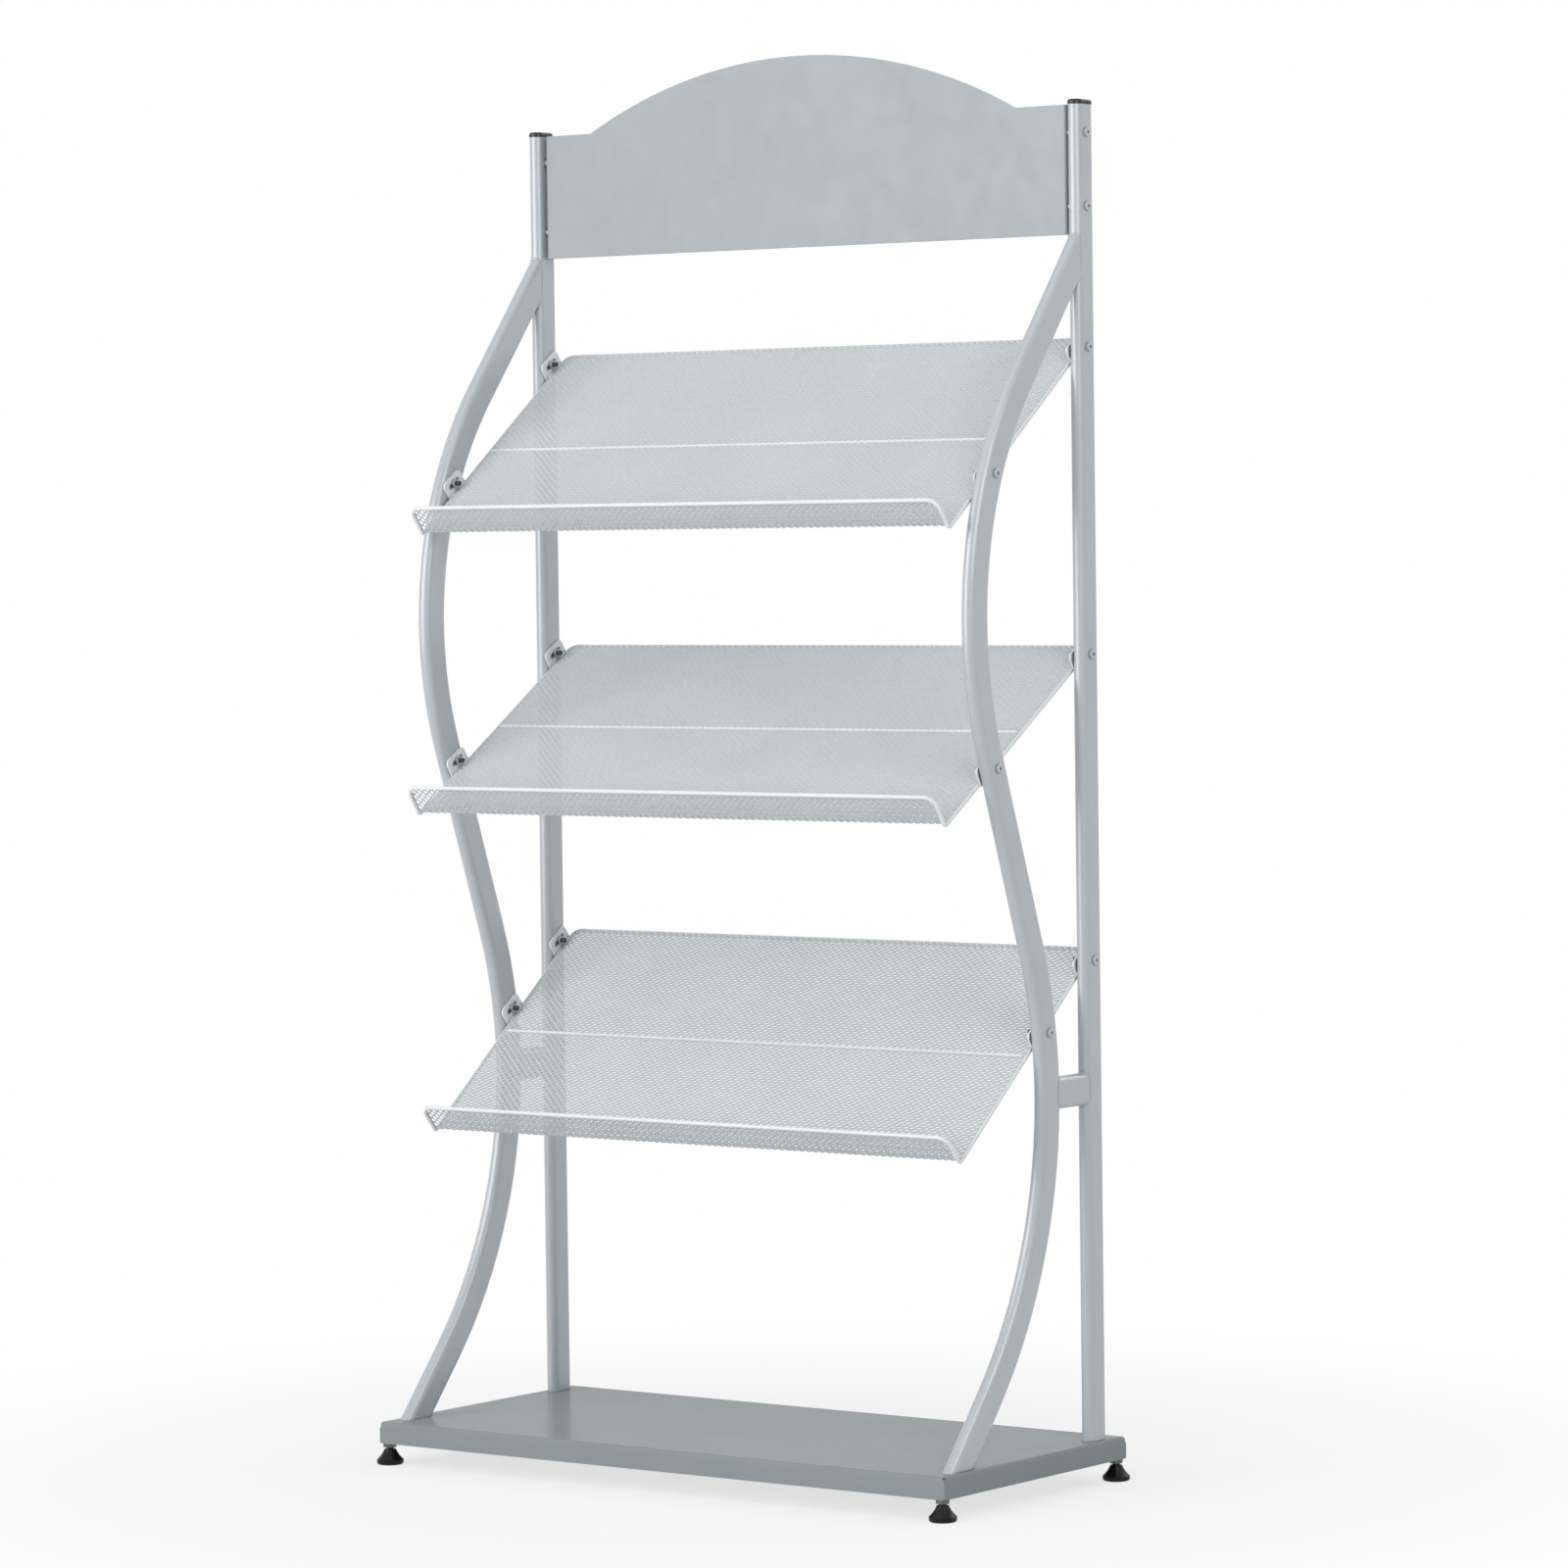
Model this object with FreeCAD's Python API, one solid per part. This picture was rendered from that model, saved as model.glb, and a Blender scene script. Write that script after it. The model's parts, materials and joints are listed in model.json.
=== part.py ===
import FreeCAD, Part
import math
import os

# Free-standing magazine rack of bent steel tube with three sloping mesh shelves and an arched header.
# Millimetres. +X is the viewer's right, -Y is the front, +Z is up and the floor is at z = 0.
# The origin is on the floor under the middle of the base.

V = FreeCAD.Vector
X_AXIS = V(1, 0, 0)
Y_AXIS = V(0, 1, 0)
Z_AXIS = V(0, 0, 1)

# Base tray, one folded sheet that is open underneath
base_width = 720.0
base_depth = 322.0
base_skirt = 22.5
base_sheet = 1.5
base_fold_radius = 3.0
base_corner_hole = 3.0

# Levelling feet
foot_gap = 22.0
foot_inset = 7.5
pad_diameter = 28.0
pad_height = 16.0
pad_rim_height = 5.0
pad_edge = 1.5
pad_floor = 4.0
pad_neck_wall = 2.0
pad_side_hollow = 1.0
stud_diameter = 8.0
stud_length = 32.0
stud_chamfer = 1.0
foot_plate_side = 30.0
foot_plate_thickness = 3.0
lock_nut_across = 13.0
lock_nut_height = 4.0
thread_clearance = 0.05

# Flat-oval tubes: the section's long side lies front to back
tube_thickness = 15.0
tube_wall = 1.5
post_section = 30.0
curved_section = 33.0
strut_section = 33.0

# Places of the tubes
post_side_inset = 13.5
post_rear_inset = 39.0
post_top = 1393.0
curved_front_inset = 42.5
rear_knee_from_post = 17.0
rear_knee_height = 306.0
front_knee_from_post = 244.5
front_knee_height = 950.0
join_height = 1255.0
rear_bend_radius = 450.0
front_bend_radius = 385.0
strut_height = 402.5

# End caps of the posts
cap_overhang = 0.6
cap_height = 5.0
cap_dome = 2.5
cap_plug_depth = 18.0
cap_plug_clearance = 0.2

# Threaded plugs, bolts and washers at the feet of the tubes
plug_length = 25.0
base_bolt_diameter = 6.0
base_bolt_reach = 14.0
base_bolt_head_across = 10.0
base_bolt_head_height = 4.0
base_washer_diameter = 18.0
base_washer_thickness = 1.6

# Screws and nuts through the tubes
screw_diameter = 5.0
screw_length = 25.0
screw_head_diameter = 9.5
screw_head_height = 2.75
screw_head_edge = 1.2
screw_recess_across = 3.0
screw_recess_depth = 1.6
screw_hole_clearance = 0.2
nut_across = 8.0
nut_height = 4.0

# Header panel, one folded sheet
header_sheet = 1.2
header_height = 130.0
header_setback = 7.5
header_gap = 4.5
header_side_flange = 16.0
header_bottom_flange = 12.0
header_fold_radius = 2.5
arch_half_chord = 273.5
arch_rise = 67.5
header_screw_inset = 28.0
header_washer_diameter = 10.0

# Shelves: expanded metal on a closed wire rim, with an upturned lip at the front
lowest_shelf_height = 532.0
shelf_pitch = 309.0
shelf_depth = 311.0
lip_height = 35.0
rear_hole_from_bend = 285.0
shelf_sheet = 1.5
wire_diameter = 4.0
wire_bend_radius = 4.0
lip_corner_radius = 12.0
back_corner_radius = 9.0
top_cross_wire_from_bend = 143.0
middle_cross_wire_from_bend = 159.0
bottom_cross_wire_from_bend = 152.0
cross_wire_gap = 0.05
mesh_columns = 16
mesh_rows = 4
mesh_margin = 12.0
mesh_strand = 8.0

# Each shelf's slope in degrees. Its front tabs are where the curved tubes cross that slope.
top_shelf_slope = 37.4
middle_shelf_slope = 33.1
bottom_shelf_slope = 39.2

# Tabs on the rim wires
tab_thickness = 2.0
tab_length = 32.0
tab_height = 18.0
tab_foot = 1.0
tab_corner = 6.0
tab_hole_height = 9.5
slot_length = 19.0

# What follows from the sizes above
base_top = foot_gap + base_skirt
post_x = base_width / 2 - post_side_inset
post_y = base_depth / 2 - post_rear_inset
tube_inner_x = post_x - tube_thickness / 2
tube_outer_x = post_x + tube_thickness / 2
foot_x = base_width / 2 - foot_inset
foot_y = base_depth / 2 - foot_inset
curved_foot_y = curved_front_inset - base_depth / 2
wire_radius = wire_diameter / 2
wire_x = tube_inner_x - tab_thickness - wire_radius
screw_hole_radius = screw_diameter / 2 + screw_hole_clearance
thread_hole_radius = screw_diameter / 2 + thread_clearance

SIDES = {"left": -1, "right": 1}
ENDS = {"front": -1, "rear": 1}
SHELVES = {
    "bottom": {
        "rear_height": lowest_shelf_height,
        "slope": bottom_shelf_slope,
        "cross_wire": bottom_cross_wire_from_bend,
    },
    "middle": {
        "rear_height": lowest_shelf_height + shelf_pitch,
        "slope": middle_shelf_slope,
        "cross_wire": middle_cross_wire_from_bend,
    },
    "top": {
        "rear_height": lowest_shelf_height + 2 * shelf_pitch,
        "slope": top_shelf_slope,
        "cross_wire": top_cross_wire_from_bend,
    },
}


def save(node, solids):
    """Write one node's STEP file from one solid or a list of separate solids."""
    shape = solids if isinstance(solids, Part.Shape) else Part.makeCompound(solids)
    shape.exportStep(f"parts/{node}.step")


def cylinder(radius, length, start, direction=Z_AXIS):
    """A cylinder from its start point along a direction."""
    return Part.makeCylinder(radius, length, start, direction)


def box(low, high):
    """A box between two opposite corners."""
    size = high - low
    return Part.makeBox(size.x, size.y, size.z, low)


def hexagon(across, height, start, direction=Z_AXIS):
    """A six-sided prism of a given width across flats."""
    radius = across / math.sqrt(3)
    points = [V(radius * math.cos(math.radians(60 * i)), radius * math.sin(math.radians(60 * i)), 0)
              for i in range(7)]
    prism = Part.Face(Part.makePolygon(points)).extrude(Z_AXIS * height)
    prism.Placement = FreeCAD.Placement(start, FreeCAD.Rotation(Z_AXIS, direction))
    return prism


def nut(across, height, bore_radius, start, direction):
    """A hexagon nut with a plain bore, its face at the start point."""
    return hexagon(across, height, start, direction).cut(cylinder(bore_radius, height, start, direction))


def washer(diameter, thickness, bore_radius, start, direction):
    """A flat washer, its face at the start point."""
    disc = cylinder(diameter / 2, thickness, start, direction)
    return disc.cut(cylinder(bore_radius, thickness, start, direction))


def mirrored(shape):
    """The same shape on the other side of the rack."""
    return shape.mirror(V(0, 0, 0), X_AXIS)


def on_side(shape, side):
    """A right-hand shape as it is, or its mirror image for the left."""
    return shape if side > 0 else mirrored(shape)


# Tubes

def flat_oval(width, thickness, centre, along):
    """A flat-oval face: thickness along X, width square to X and to the direction given."""
    half = (width - thickness) / 2
    radius = thickness / 2
    across = X_AXIS.cross(along).normalize()
    front = centre - across * half
    rear = centre + across * half
    side = X_AXIS * radius
    edges = [
        Part.LineSegment(front + side, rear + side).toShape(),
        Part.Arc(rear + side, rear + across * radius, rear - side).toShape(),
        Part.LineSegment(rear - side, front - side).toShape(),
        Part.Arc(front - side, front - across * radius, front + side).toShape(),
    ]
    return Part.Face(Part.Wire(edges))


def bar(width, thickness, start, end):
    """A straight bar of flat-oval section."""
    return flat_oval(width, thickness, start, (end - start).normalize()).extrude(end - start)


def rounded_path(points, radii):
    """Runs and tangent arcs along corner points: a list of (start, end, arc centre or None)."""
    pieces = []
    start = points[0]
    for before, corner, after, radius in zip(points, points[1:], points[2:], radii):
        back = (before - corner).normalize()
        ahead = (after - corner).normalize()
        half_angle = back.getAngle(ahead) / 2
        reach = radius / math.tan(half_angle)
        centre = corner + (back + ahead).normalize() * (radius / math.sin(half_angle))
        pieces.append((start, corner + back * reach, None))
        pieces.append((corner + back * reach, corner + ahead * reach, centre))
        start = corner + ahead * reach
    pieces.append((start, points[-1], None))
    return pieces


def swept(face_at, points, radii):
    """A section carried along a path of runs and arcs. face_at gives the section's face."""
    solid = None
    for start, end, centre in rounded_path(points, radii):
        if centre is None:
            piece = face_at(start, (end - start).normalize()).extrude(end - start)
        else:
            arm = start - centre
            axis = arm.cross(end - centre).normalize()
            angle = math.degrees(arm.getAngle(end - centre))
            piece = face_at(start, axis.cross(arm).normalize()).revolve(centre, axis, angle)
        solid = piece if solid is None else solid.fuse(piece)
    return solid.removeSplitter()


def curved_corners():
    """Corner points of the curved tube's centreline in the right-hand side plane."""
    return [
        V(post_x, curved_foot_y, base_top),
        V(post_x, post_y - rear_knee_from_post, rear_knee_height),
        V(post_x, post_y - front_knee_from_post, front_knee_height),
        V(post_x, post_y, join_height),
    ]


def curved_foot_direction():
    """Direction of the curved tube's lowest run, going up."""
    corners = curved_corners()
    return (corners[1] - corners[0]).normalize()


def curved_body(width, thickness):
    """The curved tube's section along its whole path, cut flat on the base and at the post's middle."""
    corners = curved_corners()
    corners[0] = corners[0] - curved_foot_direction() * curved_section * 2
    top_run = (corners[3] - corners[2]).normalize()
    corners[3] = corners[3] + top_run * curved_section
    radii = [rear_bend_radius, front_bend_radius]
    body = swept(lambda at, along: flat_oval(width, thickness, at, along), corners, radii)
    kept = box(V(0, -base_depth, base_top), V(base_width, post_y, post_top))
    return body.common(kept)


def post_body(width, thickness):
    """The rear post's section over its whole height."""
    return bar(width, thickness, V(post_x, post_y, base_top), V(post_x, post_y, post_top))


def strut_body(width, thickness):
    """The strut's section from the curved tube's middle to the post's middle."""
    middle_y = curved_point_at_height(strut_height).y
    start = V(post_x, middle_y, strut_height)
    return bar(width, thickness, start, V(post_x, post_y, strut_height))


def inner(size):
    """The inside size of a tube."""
    return size - 2 * tube_wall


def curved_line():
    """The curved tube's centreline as a wire."""
    edges = []
    for start, end, centre in rounded_path(curved_corners(), [rear_bend_radius, front_bend_radius]):
        if centre is None:
            edges.append(Part.LineSegment(start, end).toShape())
        else:
            towards = ((start + end) / 2 - centre).normalize()
            middle = centre + towards * (start - centre).Length
            edges.append(Part.Arc(start, middle, end).toShape())
    return Part.Wire(edges)


def curved_point_at_height(height):
    """Where the curved tube's centreline is at a height."""
    level = Part.makeLine(V(post_x, -base_depth, height), V(post_x, post_y, height))
    return curved_line().distToShape(level)[1][0][0]


def screw_hole(y, z):
    """A cutter for one screw hole through both walls of a tube, along X."""
    return cylinder(screw_hole_radius, tube_thickness * 2, V(post_x - tube_thickness, y, z), X_AXIS)


def rear_post():
    """Right-hand rear post with its shelf and header screw holes."""
    tube = post_body(post_section, tube_thickness).cut(post_body(inner(post_section), inner(tube_thickness)))
    heights = [shelf["rear_height"] for shelf in SHELVES.values()] + header_screw_heights()
    for height in heights:
        tube = tube.cut(screw_hole(post_y, height))
    return tube


def curved_tube():
    """Right-hand curved tube: its upper end is cut to fit round the post's front."""
    tube = curved_body(curved_section, tube_thickness)
    tube = tube.cut(curved_body(inner(curved_section), inner(tube_thickness)))
    tube = tube.cut(post_body(post_section, tube_thickness))
    for name in SHELVES:
        hole = front_hole(name)
        tube = tube.cut(screw_hole(hole.y, hole.z))
    return tube


def side_strut():
    """Right-hand strut between the curved tube and the post, with both ends cut to fit round them."""
    tube = strut_body(strut_section, tube_thickness)
    tube = tube.cut(strut_body(inner(strut_section), inner(tube_thickness)))
    tube = tube.cut(curved_body(curved_section, tube_thickness))
    return tube.cut(post_body(post_section, tube_thickness))


def post_cap():
    """Right-hand end cap: a domed top on the tube's rim, with a plug inside the tube."""
    foot = V(post_x, post_y, post_top)
    head = bar(post_section + 2 * cap_overhang, tube_thickness + 2 * cap_overhang, foot, foot + Z_AXIS * cap_height)
    rim = [edge for edge in head.Edges if edge.BoundBox.ZMin > post_top + cap_height / 2]
    head = head.makeFillet(cap_dome, rim)
    slack = 2 * cap_plug_clearance
    plug = bar(inner(post_section) - slack, inner(tube_thickness) - slack, foot - Z_AXIS * cap_plug_depth, foot)
    return head.fuse(plug).removeSplitter()


def foot_plug(body, foot, direction):
    """A threaded plug that fills the lower end of a tube, with a blind hole for its base bolt."""
    start = foot - direction * curved_section
    end = foot + direction * plug_length
    plug = bar(*body, start, end).common(box(V(0, -base_depth, base_top), V(base_width, base_depth, post_top)))
    return plug.cut(cylinder(base_bolt_hole_radius(), base_bolt_reach, foot))


def base_bolt_hole_radius():
    """Radius of a hole that carries a base bolt's thread."""
    return base_bolt_diameter / 2 + thread_clearance


def tube_feet():
    """Middle of each right-hand tube's foot on the base, front and rear."""
    return [V(post_x, curved_foot_y, base_top), V(post_x, post_y, base_top)]


def tube_foot_plugs(side):
    """The plugs of one side's curved tube and post."""
    front, rear = tube_feet()
    front_body = (inner(curved_section), inner(tube_thickness))
    rear_body = (inner(post_section), inner(tube_thickness))
    plugs = [foot_plug(front_body, front, curved_foot_direction()), foot_plug(rear_body, rear, Z_AXIS)]
    return [on_side(plug, side) for plug in plugs]


def base_bolt(foot):
    """A hexagon bolt from inside the tray up into a tube's plug, over its washer."""
    seat = foot - Z_AXIS * (base_sheet + base_washer_thickness)
    shank_length = base_sheet + base_washer_thickness + base_bolt_reach
    shank = cylinder(base_bolt_diameter / 2, shank_length, seat)
    head = hexagon(base_bolt_head_across, base_bolt_head_height, seat - Z_AXIS * base_bolt_head_height)
    return head.fuse(shank).removeSplitter()


def base_washer(foot):
    """The washer between a base bolt's head and the underside of the tray's top."""
    start = foot - Z_AXIS * (base_sheet + base_washer_thickness)
    return washer(base_washer_diameter, base_washer_thickness, base_bolt_hole_radius(), start, Z_AXIS)


# Base and feet

def tray_block(inset, low, high, radius):
    """A block inside the tray's outline with rounded corners and rounded top edges."""
    half_x = base_width / 2 - inset
    half_y = base_depth / 2 - inset
    block = box(V(-half_x, -half_y, low), V(half_x, half_y, high))
    rounded = [edge for edge in block.Edges if edge.BoundBox.ZMax > high - radius]
    return block.makeFillet(radius, rounded)


def base_tray():
    """Folded tray with its bolt holes and the small relief hole at each upper corner."""
    tray = tray_block(0, foot_gap, base_top, base_fold_radius)
    hollow = tray_block(base_sheet, foot_gap - base_skirt, base_top - base_sheet, base_fold_radius - base_sheet)
    tray = tray.cut(hollow)
    for foot in tube_feet():
        for at in (foot, V(-foot.x, foot.y, foot.z)):
            tray = tray.cut(cylinder(base_bolt_hole_radius(), base_skirt, at - Z_AXIS * base_skirt / 2))
    for side in SIDES.values():
        for end in ENDS.values():
            corner = V(side * base_width / 2, end * base_depth / 2, base_top)
            inward = V(-side, -end, -1).normalize()
            start = corner - inward * base_corner_hole
            tray = tray.cut(cylinder(base_corner_hole / 2, base_corner_hole * 3, start, inward))
    return tray


def foot_centre(side, end, height=0.0):
    """A point on the axis of one foot."""
    return V(side * foot_x, end * foot_y, height)


def foot_plate(side, end):
    """The plate welded in one lower corner of the tray, with the foot's threaded hole."""
    outer = V(base_width / 2 - base_sheet, base_depth / 2 - base_sheet, foot_gap + foot_plate_thickness)
    low = V(outer.x - foot_plate_side, outer.y - foot_plate_side, foot_gap)
    plate = box(low, outer)
    middle = (low + outer) / 2
    corner = [edge for edge in plate.Edges if edge.BoundBox.XMin > middle.x and edge.BoundBox.YMin > middle.y]
    plate = plate.makeFillet(base_fold_radius - base_sheet, corner)
    plate = plate.cut(cylinder(stud_hole_radius(), foot_plate_thickness, V(foot_x, foot_y, foot_gap)))
    if end < 0:
        plate = plate.mirror(V(0, 0, 0), Y_AXIS)
    return on_side(plate, side)


def stud_hole_radius():
    """Radius of a hole that carries a foot's stud."""
    return stud_diameter / 2 + thread_clearance


def foot_pad():
    """A bell-shaped pad moulded round the lower end of its stud, on the Z axis."""
    outer = pad_diameter / 2
    neck = stud_diameter / 2 + pad_neck_wall
    rim = V(outer, 0, pad_rim_height)
    top = V(neck, 0, pad_height)
    side = (rim + top) / 2 - X_AXIS * pad_side_hollow
    edges = [
        Part.LineSegment(V(0, 0, 0), V(outer - pad_edge, 0, 0)).toShape(),
        Part.LineSegment(V(outer - pad_edge, 0, 0), V(outer, 0, pad_edge)).toShape(),
        Part.LineSegment(V(outer, 0, pad_edge), rim).toShape(),
        Part.Arc(rim, side, top).toShape(),
        Part.LineSegment(top, V(0, 0, pad_height)).toShape(),
        Part.LineSegment(V(0, 0, pad_height), V(0, 0, 0)).toShape(),
    ]
    pad = Part.Face(Part.Wire(edges)).revolve(V(0, 0, 0), Z_AXIS, 360)
    return pad.cut(cylinder(stud_diameter / 2, pad_height, V(0, 0, pad_floor)))


def foot_stud():
    """The stud of one foot, on the Z axis."""
    stud = cylinder(stud_diameter / 2, stud_length, V(0, 0, pad_floor))
    tip = [edge for edge in stud.Edges if edge.BoundBox.ZMin > pad_floor + stud_length / 2]
    return stud.makeChamfer(stud_chamfer, tip)


def placed_foot(shape, side, end):
    """A foot's piece moved from the Z axis to one corner."""
    return shape.translated(foot_centre(side, end))


def lock_nut(side, end):
    """The nut on one stud, against the underside of the tray."""
    start = foot_centre(side, end, foot_gap - lock_nut_height)
    return nut(lock_nut_across, lock_nut_height, stud_hole_radius(), start, Z_AXIS)


# Header

def header_screw_heights():
    """Heights of the lower and upper header screws."""
    return [post_top - header_height + header_screw_inset, post_top - header_screw_inset]


def header_face_y():
    """The header's front face."""
    return post_y - post_section / 2 + header_setback


def header_channel():
    """The header between the shoulders: front sheet and two side flanges with rounded folds."""
    half = tube_inner_x - header_gap
    front = header_face_y()
    low = post_top - header_height

    def block(inset, rear):
        shape = box(V(inset - half, front + inset, low), V(half - inset, rear, post_top))
        folds = [edge for edge in shape.Edges
                 if edge.BoundBox.ZLength > header_height / 2 and edge.BoundBox.YMax < (front + rear) / 2]
        return shape.makeFillet(header_fold_radius - inset, folds)

    outer = block(0, front + header_side_flange)
    return outer.cut(block(header_sheet, front + header_side_flange * 2))


def header_arch():
    """The arched crown above the shoulders."""
    front = header_face_y()
    left = V(-arch_half_chord, front, post_top)
    right = V(arch_half_chord, front, post_top)
    crown = V(0, front, post_top + arch_rise)
    edges = [Part.LineSegment(left, right).toShape(), Part.Arc(right, crown, left).toShape()]
    return Part.Face(Part.Wire(edges)).extrude(Y_AXIS * header_sheet)


def header_bottom():
    """The flange folded back along the header's lower edge, between the side flanges."""
    half = tube_inner_x - header_gap - header_sheet
    front = header_face_y()
    low = post_top - header_height
    return box(V(-half, front, low), V(half, front + header_bottom_flange, low + header_sheet))


def header_panel():
    """The whole header with its screw holes."""
    panel = header_channel().fuse([header_arch(), header_bottom()]).removeSplitter()
    for height in header_screw_heights():
        for side in SIDES.values():
            start = V(side * (tube_inner_x - header_side_flange), post_y, height)
            panel = panel.cut(cylinder(screw_hole_radius, header_side_flange * 2, start, X_AXIS * side))
    return panel


# Screws and nuts

def screw(y, z):
    """A button-head screw from the right-hand tube's outer face inwards."""
    seat = V(tube_outer_x, y, z)
    head = cylinder(screw_head_diameter / 2, screw_head_height, seat, X_AXIS)
    rim = [edge for edge in head.Edges if edge.BoundBox.XMin > tube_outer_x + screw_head_height / 2]
    head = head.makeFillet(screw_head_edge, rim)
    top = seat + X_AXIS * (screw_head_height - screw_recess_depth)
    head = head.cut(hexagon(screw_recess_across, screw_head_height, top, X_AXIS))
    shank = cylinder(screw_diameter / 2, screw_length, seat - X_AXIS * screw_length, X_AXIS)
    return head.fuse(shank).removeSplitter()


def both_sides(shapes):
    """Right-hand shapes and their mirror images."""
    return shapes + [mirrored(shape) for shape in shapes]


def header_screws():
    return both_sides([screw(post_y, height) for height in header_screw_heights()])


def header_washers():
    """Washers that fill the gap between each post and the header's side flange."""
    return both_sides([
        washer(header_washer_diameter, header_gap, screw_hole_radius, V(tube_inner_x, post_y, height), -X_AXIS)
        for height in header_screw_heights()])


def header_nuts():
    face = tube_inner_x - header_gap - header_sheet
    return both_sides([
        nut(nut_across, nut_height, thread_hole_radius, V(face, post_y, height), -X_AXIS)
        for height in header_screw_heights()])


def shelf_screws(name):
    return both_sides([screw(hole.y, hole.z) for hole in (front_hole(name), rear_hole(name))])


def shelf_nuts(name):
    face = tube_inner_x - tab_thickness
    return both_sides([
        nut(nut_across, nut_height, thread_hole_radius, V(face, hole.y, hole.z), -X_AXIS)
        for hole in (front_hole(name), rear_hole(name))])


# Shelves are drawn flat with X across, Y up the slope from the bend and Z square to the mesh,
# with the rim wire's centre at Y = 0 on the bend and Z = 0, and then tilted into place.

def rear_hole(name):
    """The shelf's screw hole in the post."""
    return V(post_x, post_y, SHELVES[name]["rear_height"])


def shelf_rotation(name):
    """The turn about X that tilts a flat-drawn shelf to its slope."""
    return FreeCAD.Rotation(X_AXIS, SHELVES[name]["slope"])


def front_hole(name):
    """The shelf's screw hole in the curved tube, down the slope from the rear hole."""
    rear = rear_hole(name)
    down = shelf_rotation(name).multVec(V(0, -rear_hole_from_bend, 0))
    return curved_line().distToShape(Part.makeLine(rear, rear + down))[1][0][0]


def shelf_placed(shapes, name):
    """Flat-drawn shapes tilted to the shelf's slope, with the rear tab's hole at the post's hole."""
    rotation = shelf_rotation(name)
    hole = rotation.multVec(V(0, rear_hole_from_bend, tab_hole_height))
    rear = rear_hole(name)
    placement = FreeCAD.Placement(V(0, rear.y, rear.z) - hole, rotation)
    return [shape.transformed(placement.toMatrix()) for shape in shapes]


def rounded_panel(low, high, radius, thickness):
    """A flat panel in X and Y whose two upper corners are rounded."""
    panel = box(low, V(high.x, high.y, low.z + thickness))
    corners = [edge for edge in panel.Edges
               if edge.BoundBox.ZLength > thickness / 2 and edge.BoundBox.YMin > (low.y + high.y) / 2]
    return panel.makeFillet(radius, corners)


def bent_sheet():
    """The shelf's sheet: slope panel, bend and lip, lying on the inside of the rim wire."""
    edge = wire_bend_radius
    depth = V(wire_x, shelf_depth, 0)
    slope = rounded_panel(V(-wire_x, edge, wire_radius), depth, back_corner_radius, shelf_sheet)
    lip = rounded_panel(V(-wire_x, edge, 0), V(wire_x, lip_height, 0), lip_corner_radius, shelf_sheet)
    lip.rotate(V(0, 0, 0), X_AXIS, 90)
    lip.translate(V(0, wire_radius + shelf_sheet, 0))
    centre = V(-wire_x, edge, edge)
    outside = edge - wire_radius
    ring = cylinder(outside, wire_x * 2, centre, X_AXIS)
    ring = ring.cut(cylinder(outside - shelf_sheet, wire_x * 2, centre, X_AXIS))
    bend = ring.common(box(V(-wire_x, 0, 0), V(wire_x, edge, edge)))
    return slope.fuse([bend, lip]).removeSplitter()


def diamond(centre, half_x, half_y, height):
    """A diamond-shaped cutter."""
    corners = [V(half_x, 0, 0), V(0, half_y, 0), V(-half_x, 0, 0), V(0, -half_y, 0), V(half_x, 0, 0)]
    return Part.Face(Part.makePolygon([centre + corner for corner in corners])).extrude(Z_AXIS * height)


def mesh_diamonds():
    """Diamond gaps in staggered rows, the long way up the slope, with a strand's width between them."""
    width = 2 * (wire_x - mesh_margin)
    start_y = wire_bend_radius + mesh_margin
    depth = shelf_depth - mesh_margin - start_y
    tile_x = width / mesh_columns / 2
    tile_y = depth / mesh_rows / 2
    inset = mesh_strand / 2 * math.hypot(tile_x, tile_y) / (tile_x * tile_y)
    half_x = tile_x * (1 - inset)
    half_y = tile_y * (1 - inset)
    gaps = []
    for row in range(2 * mesh_rows - 1):
        staggered = row % 2
        for column in range(mesh_columns - staggered):
            x = -width / 2 + tile_x * (2 * column + 1 + staggered)
            y = start_y + tile_y * (row + 1)
            gaps.append(diamond(V(x, y, 0), half_x, half_y, wire_diameter * 2))
    return gaps


def mesh_sheet():
    """The bent sheet with its diamond gaps."""
    return bent_sheet().cut(mesh_diamonds())


def wire_section(at, along):
    """The round section of a wire."""
    circle = Part.Circle(at, along, wire_radius)
    return Part.Face(Part.Wire(circle.toShape()))


def rim_wire():
    """One closed wire along the sides, the back and the lip's upper edge."""
    half_back = V(0, shelf_depth, 0)
    points = [
        half_back,
        V(wire_x, shelf_depth, 0),
        V(wire_x, 0, 0),
        V(wire_x, 0, lip_height),
        V(-wire_x, 0, lip_height),
        V(-wire_x, 0, 0),
        V(-wire_x, shelf_depth, 0),
        half_back,
    ]
    one_side = [back_corner_radius, wire_bend_radius, lip_corner_radius]
    return swept(wire_section, points, one_side + one_side[::-1])


def cross_wire(rim, from_bend):
    """The wire under the middle of the mesh, with its ends cut to fit the rim."""
    start = V(-wire_x, from_bend, -cross_wire_gap)
    return cylinder(wire_radius, 2 * wire_x, start, X_AXIS).cut(rim)


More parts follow.
